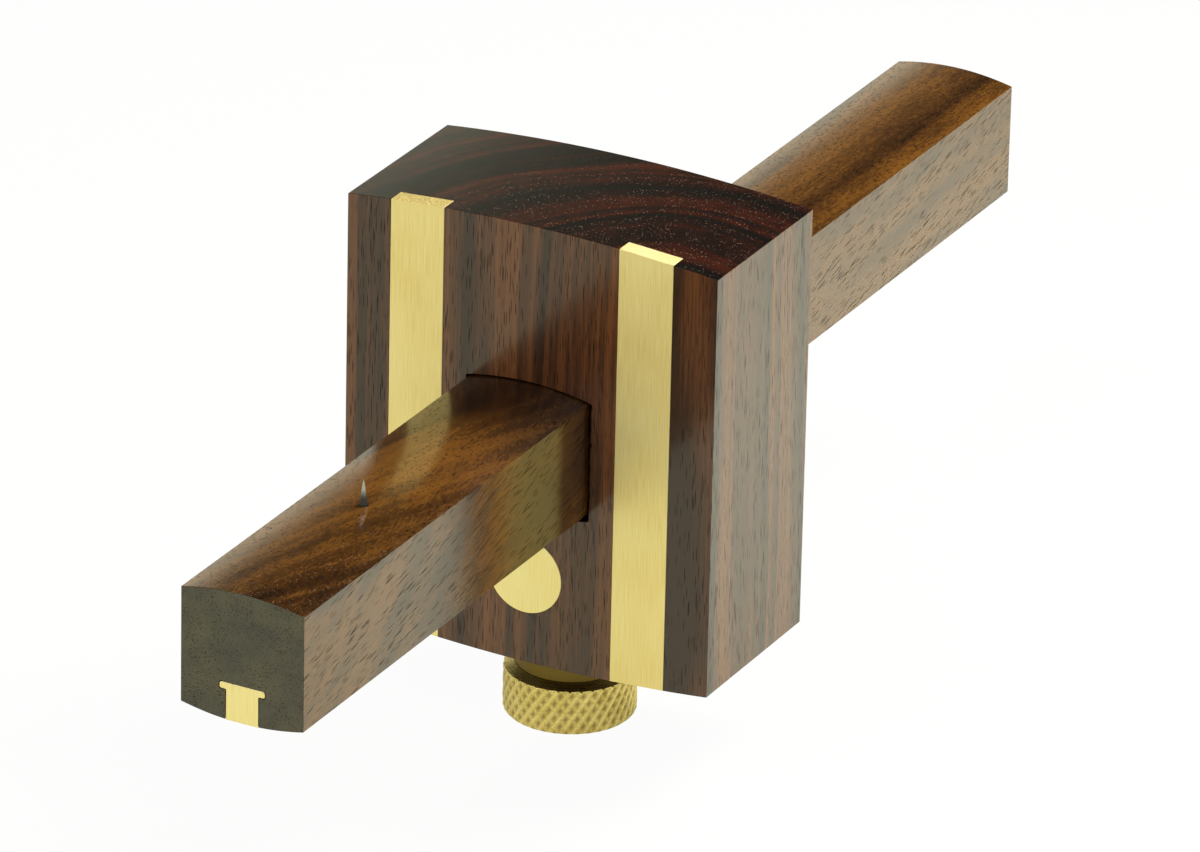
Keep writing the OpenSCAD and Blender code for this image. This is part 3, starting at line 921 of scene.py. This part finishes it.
outline, normals = crowned_outline(stock_high[0], stock_high[2], stock_crown, stock_ease)
stock = make_piece("stock_block", closed(bar(outline, normals, 0.0, stock_high[1], end_ease)))
cutters = [make_piece("mortise", closed(mortise_rings(mouth_relief, mouth_chips)))]
for side in (-1, 1):
    reach = sorted((side * (strip_low[0] - joint_line), side * (strip_high[0] + joint_line)))
    low = (reach[0], -over, stock_low[2] - over)
    high = (reach[1], strip_high[1], stock_high[2] + over)
    cutters.append(make_piece("strip_housing", closed(block(low, high))))
nut_hole = [(nut_radius + joint_line, -over), (nut_radius + joint_line, nut_high[1])]
cutters.append(make_piece("nut_hole", closed(turned(nut_hole, (0, 0, nut_z), axis="Y"))))
bore = [(screw_bore, stock_low[2] - over), (screw_bore, stem_low[2])]
cutters.append(make_piece("screw_bore", closed(turned(bore, (0, stock_high[1] / 2, 0)))))
carve(stock, *cutters)
dress(stock, "stock", stock_wood)

# %% [markdown]
# ## The wear strips
# Two brass strips are let into the face, flush with the wood, and their ends follow the arch of the
# stock. A strip could be a plain box, cut to the arch. Here a rounded rectangle is carried upwards, and
# where each of its lines ends is read from the arch, so strip and wood end at the same height.

# %% Face strips
def strip_rings(low, high, ease, steps=4, corner=0.07):
    """Rings of a strip along Z. Its section is a rounded rectangle, and at each place across, the ends
    lie on the arch: apex - R + sqrt(R^2 - x^2). The end edges are drawn in along a quarter circle of
    radius ease, which is less than the corners' radius, or the corners would cross over."""
    corners = [(low[0], low[1]), (high[0], low[1]), (high[0], high[1]), (low[0], high[1])]
    section, normal = rounded(corners, corner, 4)
    section, normal = section.reshape(-1, 2), normal.reshape(-1, 2)
    angle = np.linspace(0, math.pi / 2, steps)
    inset = ease * (1 - np.sin(angle))[:, None]
    depth = ease * (1 - np.cos(angle))[:, None]
    xy = section[None] - normal[None] * inset[..., None]
    radius = (stock_high[0] ** 2 + stock_crown**2) / (2 * stock_crown)
    top = stock_high[2] - radius + np.sqrt(radius**2 - xy[..., 0] ** 2) - depth
    upper = np.concatenate([xy, top[..., None]], -1)
    lower = np.concatenate([xy, -top[..., None]], -1)
    return np.concatenate([lower, upper[::-1]])


for node, finish in (("face_strip_left", strip_left_brass), ("face_strip_right", strip_right_brass)):
    strip = make_piece(node + "_brass", closed(strip_rings(*box_mm(node), end_ease)))
    dress(strip, node, finish)

# %% [markdown]
# ## The barrel nut
# The brass disc in the face is the end of a bar that goes deep into the stock, and the thumbscrew's
# thread runs through it. Its hole is cut with the same thread as the screw's, grown by the gap
# between them. A V could be carried along a helix, but its turns would have to be joined up. Here the
# thread is a height field on a cylinder: the radius rises and falls once per pitch, and the rise
# climbs as it goes round.

# %% Thread and barrel nut
thread_pitch = 1.25
thread_radius = 4.0
thread_depth = 0.76
thread_gap = 0.2
nut_edge = 0.08


def thread_rings(z_from, z_to, gap, segments=48, per_pitch=12):
    """Rings of a right-hand V thread about the clamp's axis. The radius at an angle and a height is the
    crest's minus the depth times how far the height is, in half pitches, from the nearest crest, and
    a crest climbs by one pitch per turn."""
    z = np.linspace(z_from, z_to, int((z_to - z_from) / thread_pitch * per_pitch) + 1)[:, None]
    angle = np.linspace(0, 2 * math.pi, segments, endpoint=False)[None]
    turns = z / thread_pitch - angle / (2 * math.pi)
    away = 2 * np.abs(turns - np.round(turns))
    radius = thread_radius + gap - thread_depth * away
    x = radius * np.cos(angle)
    y = radius * np.sin(angle) + screw_centre[1]
    return np.stack([x, y, np.broadcast_to(z, x.shape)], -1)


nut_corners = [(0, 0), (nut_radius, 0), (nut_radius, nut_high[1]), (0, nut_high[1])]
nut_profile = turned_profile(nut_corners, nut_edge)
nut = make_piece("barrel_nut_brass", closed(turned(nut_profile, (0, 0, nut_z), axis="Y")))
tap = make_piece("tap", closed(thread_rings(nut_low[2] - over, nut_high[2] + over, thread_gap)))
carve(nut, tap)
dress(nut, "barrel_nut", nut_brass)

# %% [markdown]
# ## The thumbscrew
# A knurl is pressed into the rim by two wheels with slanting teeth, which leave two crossing families
# of ridges with pits between them. It could be a bump in the finish, but the knob's outline would then
# stay smooth. So the rim is a fine grid: its radius falls from the ridges to the pits, and where the
# lathe has cut the cone and the lower bevel, the smaller of the two radii counts.

# %% Thumbscrew
knob_radius = (screw_high[0] - screw_low[0]) / 2
knob_height = 7.4
knob_bevel = 0.45
cone_height = 0.95
collar_radius = 8.7
collar_height = 3.4
collar_edge = 0.3
# The collar under the stock is dark and dull all over: painted shade of the stock above it.
collar_painted_shade = 1.0
knurl_count = 36
knurl_pitch = 2.6
knurl_depth = 0.3
knurl_dullness = 0.7
dirt_gain = 1.5
dirt_free = 0.35
second_family = 0.72
spigot_radius = 2.5
spigot_length = 1.6
spigot_edge = 0.2
rim_top = screw_low[2] + knob_height
collar_from = rim_top + cone_height
collar_top = collar_from + collar_height


def knob_rings(columns=16 * knurl_count, rows_per_mm=7):
    """Rings of the knob with the collar on it, and how dark and dull each point is, from 0 to 1.

    Two ridge counts, around the rim minus and plus the height in pitches, are whole numbers on the
    ridges. The nearer ridge gives the height, 1 on a ridge and 0 in the middle of a pit, and the second
    family is a little lower. Points are darker and duller the deeper they lie, from dirt. The collar is
    dark and dull all over, which is painted shade of the stock above it. The last ring of the rim is the
    collar's foot, so of the collar only the rounded upper edge is added."""
    bottom = screw_low[2]
    turned_z = [bottom, bottom + knob_bevel, rim_top, collar_from]
    turned_r = [knob_radius - knob_bevel, knob_radius, knob_radius, collar_radius]
    z = np.linspace(bottom, collar_from, int((knob_height + cone_height) * rows_per_mm))[:, None]
    angle = np.linspace(0, 2 * math.pi, columns, endpoint=False)[None]
    around = knurl_count * angle / (2 * math.pi)
    rise = (z - bottom) / knurl_pitch
    ridge = [1 - 2 * np.abs(count - np.round(count)) for count in (around - rise, around + rise)]
    pit = 1 - np.maximum(ridge[0], second_family * ridge[1])
    radius = np.minimum(np.interp(z, turned_z, turned_r), knob_radius - knurl_depth * pit)
    rim_dull = knurl_dullness * np.clip(dirt_gain * pit - dirt_free, 0, 1) * (z <= rim_top)
    rim_dull[-1] = collar_painted_shade
    rim = np.stack([radius * np.cos(angle), radius * np.sin(angle) + screw_centre[1], 0 * radius + z], -1)
    corners = [(0, collar_from), (collar_radius, collar_from), (collar_radius, collar_top), (0, collar_top)]
    upper_edge = rounded(corners, collar_edge)[0][2]
    collar = turned(upper_edge, (0, screw_centre[1], 0), columns)
    collar_dull = np.full(collar.shape[:2], collar_painted_shade)
    return np.concatenate([rim, collar]), np.concatenate([rim_dull, collar_dull])


# pit holds the knurl's dirt and the collar's painted shade.
knob, pit = knob_rings()
thread_top = screw_high[2] - spigot_length
spigot = [
    (spigot_radius, thread_top - over),
    (spigot_radius, screw_high[2] - spigot_edge),
    (spigot_radius - spigot_edge, screw_high[2]),
]
shells = [
    closed(knob),
    closed(thread_rings(collar_top - over, thread_top, 0.0)),
    closed(turned(spigot, (0, screw_centre[1], 0))),
]
screw = make_piece("thumbscrew_brass", *shells)
dirt_and_painted_shade = np.zeros(len(screw.data.vertices), np.float32)
dirt_and_painted_shade[:pit.size] = pit.ravel()
screw.data.attributes.new("pit", "FLOAT", "POINT").data.foreach_set("value", dirt_and_painted_shade)
dress(screw, "thumbscrew", screw_brass)

# %% [markdown]
# ## The pressure shoe and the studs
# Out of sight, a loose brass shoe on the screw's end presses on the stem, and four studs hold the
# strips. The shoe is turned. The studs could be turned again as well, but their CAD solids are right as
# they are, so they stay and only take a finish.

# %% Pressure shoe and studs
shoe_low, shoe_high = box_mm("pressure_shoe")
shoe_radius = (shoe_high[0] - shoe_low[0]) / 2
socket_radius = 2.6
socket_depth = 1.2
shoe_edge = 0.15
socket_top = shoe_low[2] + socket_depth
shoe_corners = [
    (0, socket_top),
    (socket_radius, socket_top),
    (socket_radius, shoe_low[2]),
    (shoe_radius, shoe_low[2]),
    (shoe_radius, shoe_high[2]),
    (0, shoe_high[2]),
]
shoe_profile = turned_profile(shoe_corners, shoe_edge)
shoe = make_piece("pressure_shoe_brass", closed(turned(shoe_profile, (0, screw_centre[1], 0))))
dress(shoe, "pressure_shoe", screw_brass)
studs = frame["nodes"]["strip_studs"]
studs.data.materials.clear()
studs.data.materials.append(nut_brass)
print("studs keep their solids")

# %% [markdown]
# ## The stem
# The stem is a lighter bar of the same wood with an arched top and bottom. A T-shaped groove along its
# underside carries the brass slide. The groove could have an outline of its own, but it is the slide's,
# grown by the gap it runs with, so the two always fit.

# %% Tee outline
slide_low, slide_high = box_mm("pin_slide")
plate_low, plate_high = box_mm("pin_plate")
tee_body = 2.75
tee_flange = slide_high[0]
tee_flange_thick = 1.1
tee_edge = 0.14
flange_edge = 0.34
slide_gap = 0.12


def tee_outline(gap=0.0, below=0.0):
    """Outline of the slide's T section and its normals, anticlockwise, grown by gap and carried below."""
    body = tee_body + gap
    flange = tee_flange + gap
    bottom = slide_low[2] - below
    top = slide_high[2] + gap
    step = slide_high[2] - tee_flange_thick - gap
    right_half = [(body, bottom), (body, step), (flange, step), (flange, top)]
    left_half = [(-x, z) for x, z in right_half[::-1]]
    radii = [tee_edge, tee_edge, flange_edge, flange_edge]
    outline, normals = rounded(right_half + left_half, radii + radii[::-1], 5)
    return outline.reshape(-1, 2), normals.reshape(-1, 2)


print("tee of", len(tee_outline()[0]), "points")

# %% [markdown]
# The bar is made like the stock's block. The groove could be part of its outline, but then the eased
# corners would have to run into it, so it is cut out afterwards, and so is a shallow flare round the
# marking pin. The flare is a turned piece, with its heights counted from the stem's top.

# %% Stem
pin_low, pin_high = box_mm("marking_pin")
pin_place = (pin_low + pin_high) / 2
stem_ease = 0.07
groove_ease = 0.1
pin_sink = [(0.70, -0.6), (0.74, -0.2), (0.80, 0.05), (0.95, 0.6)]

outline, normals = crowned_outline(stem_high[0], stem_high[2], stem_crown, stem_ease)
stem = make_piece("stem_bar", closed(bar(outline, normals, stem_low[1], stem_high[1], end_ease)))
groove_outline, groove_normals = tee_outline(slide_gap, over)
groove_bar = bar(groove_outline, groove_normals, stem_low[1] - over, stem_high[1] + over, groove_ease)
groove = make_piece("groove", closed(groove_bar))
sink = make_piece("pin_sink", closed(turned(pin_sink, (0, pin_place[1], stem_high[2]), 48)))
carve(stem, groove, sink)
dress(stem, "stem", stem_wood)

# %% [markdown]
# ## The slide, the plate and its screws
# The brass in the groove is in two lengths of one T section. The front one is screwed down and holds
# the fixed mortise pin, and the rear one slides and holds the other. Two boxes could stand for the
# section, but they would meet in a sharp seam, so the rounded outline is carried along. The screws are
# turned, and their slots are cut as a saw would cut them.

# %% Plate, slide and screws
screws_low, screws_high = box_mm("plate_screws")
head_radius = (screws_high[0] - screws_low[0]) / 2
shank_radius = 1.0
point_radius = 0.1
point_length = 2 * shank_radius
screw_edge = 0.03
screw_fit = 0.04
slot_half = 0.3
slot_depth = 0.6
tee_end_ease = 0.12
screw_places = (screws_low[1] + head_radius, screws_high[1] - head_radius)


def screw_shells(grow, segments=64):
    """Shells of the countersunk screws, head down, grown by a gap: a cone, a shank and a point."""
    base = screws_low[2]
    tip = screws_high[2]
    corners = [
        (0, base),
        (head_radius + grow, base),
        (shank_radius + grow, base + head_radius - shank_radius),
        (shank_radius + grow, tip - point_length),
        (point_radius, tip),
        (0, tip),
    ]
    profile = turned_profile(corners, screw_edge)
    return [closed(turned(profile, (0, y, 0), segments)) for y in screw_places]


tee, tee_normals = tee_outline()
plate_bar = bar(tee, tee_normals, plate_low[1], plate_high[1], tee_end_ease)
slide_bar = bar(tee, tee_normals, slide_low[1], slide_high[1], tee_end_ease)
plate = make_piece("pin_plate_brass", closed(plate_bar))
slide = make_piece("pin_slide_brass", closed(slide_bar))
carve(plate, *[make_piece("screw_hole", shell) for shell in screw_shells(screw_fit)])
dress(plate, "pin_plate", slide_brass)
dress(slide, "pin_slide", slide_brass)
screws = make_piece("plate_screws_brass", *screw_shells(0.0))
slots_cut = []
for y in screw_places:
    low = (-head_radius - over, y - slot_half, screws_low[2] - over)
    high = (head_radius + over, y + slot_half, screws_low[2] + slot_depth)
    slots_cut.append(make_piece("driver_slot", closed(block(low, high))))
carve(screws, *slots_cut)
dress(screws, "plate_screws", pull_brass)

# %% [markdown]
# ## Pins and pull
# The pins are hardened steel, ground to a point. A cone could do for the shape, but a slight swell makes
# the point look ground and not turned. The pull is a small turned button on a neck, riveted to the
# slide's far end, by which the thumb draws the slide back.

# %% Pins and pull
pull_neck_radius = 2.3
pull_neck_height = 1.5
rivet_radius = 1.5
pull_edges = [0.1, 1.0, 0.35, 0.3, 0.1, 0.1, 0.1, 0.1]


def pin_profile(radius, bury, reach, point=0.06, power=0.85, steps=12):
    """Profile of a pin: a shank of one radius, then a point whose radius falls slowly first and faster
    near its end, because it goes with a power below 1 of what is left of its length."""
    part = np.linspace(0, 1, steps)
    taper = point + (radius - point) * (1 - part) ** power
    tip = np.stack([taper, reach * part], 1)
    return np.concatenate([[(radius, -bury)], tip])


def stand_pin(node, surface, way, segments=48):
    """Makes the pin of a node, which stands on the height surface and points up or down. Up to a third of
    its height it is dark and dull, which is painted shade, and above two thirds it is bright."""
    low, high = box_mm(node)
    radius = (high[0] - low[0]) / 2
    reach, bury = (high[2] - surface, surface - low[2])[::way]
    profile = pin_profile(radius, bury, reach)
    # The dark, dull foot of the pin is painted shade.
    dull = np.interp(profile[:, 1], [reach / 3, 2 * reach / 3], [1.0, 0.0])
    at = (0, (low[1] + high[1]) / 2, surface)
    pin = make_piece(node + "_steel", closed(turned(profile * [1, way], at, segments)))
    dirt_and_painted_shade = np.repeat(dull, segments).astype(np.float32)
    pin.data.attributes.new("pit", "FLOAT", "POINT").data.foreach_set("value", dirt_and_painted_shade)
    dress(pin, node, pin_steel)


stand_pin("marking_pin", stem_high[2], 1)
stand_pin("fixed_mortise_pin", slide_low[2], -1)
stand_pin("sliding_mortise_pin", slide_low[2], -1)

pull_radius = (pull_high[0] - pull_low[0]) / 2
neck_low = slide_low[2] - pull_neck_height
pull_corners = [
    (0, pull_low[2]),
    (pull_radius, pull_low[2]),
    (pull_radius, neck_low),
    (pull_neck_radius, neck_low),
    (pull_neck_radius, slide_low[2]),
    (rivet_radius, slide_low[2]),
    (rivet_radius, pull_high[2]),
    (0, pull_high[2]),
]
pull_profile = turned_profile(pull_corners, pull_edges, 6)
pull = make_piece("slide_pull_brass", closed(turned(pull_profile, (0, pull_centre[1], 0))))
dress(pull, "slide_pull", pull_brass)

# %% [markdown]
# ## The size and the last line
# The finished surfaces stay inside the box of the solids they stand for. Both boxes are written
# down, so that anyone can compare them.

# %% Print both boxes and finish
low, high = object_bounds()
sizes = {"cad": [list(cad_low), list(cad_high)], "visual": [list(low), list(high)]}
boxes = [[round(c / MM, 2) for c in corner] for box in sizes.values() for corner in box]
print("CAD box and visual box, mm:", boxes)
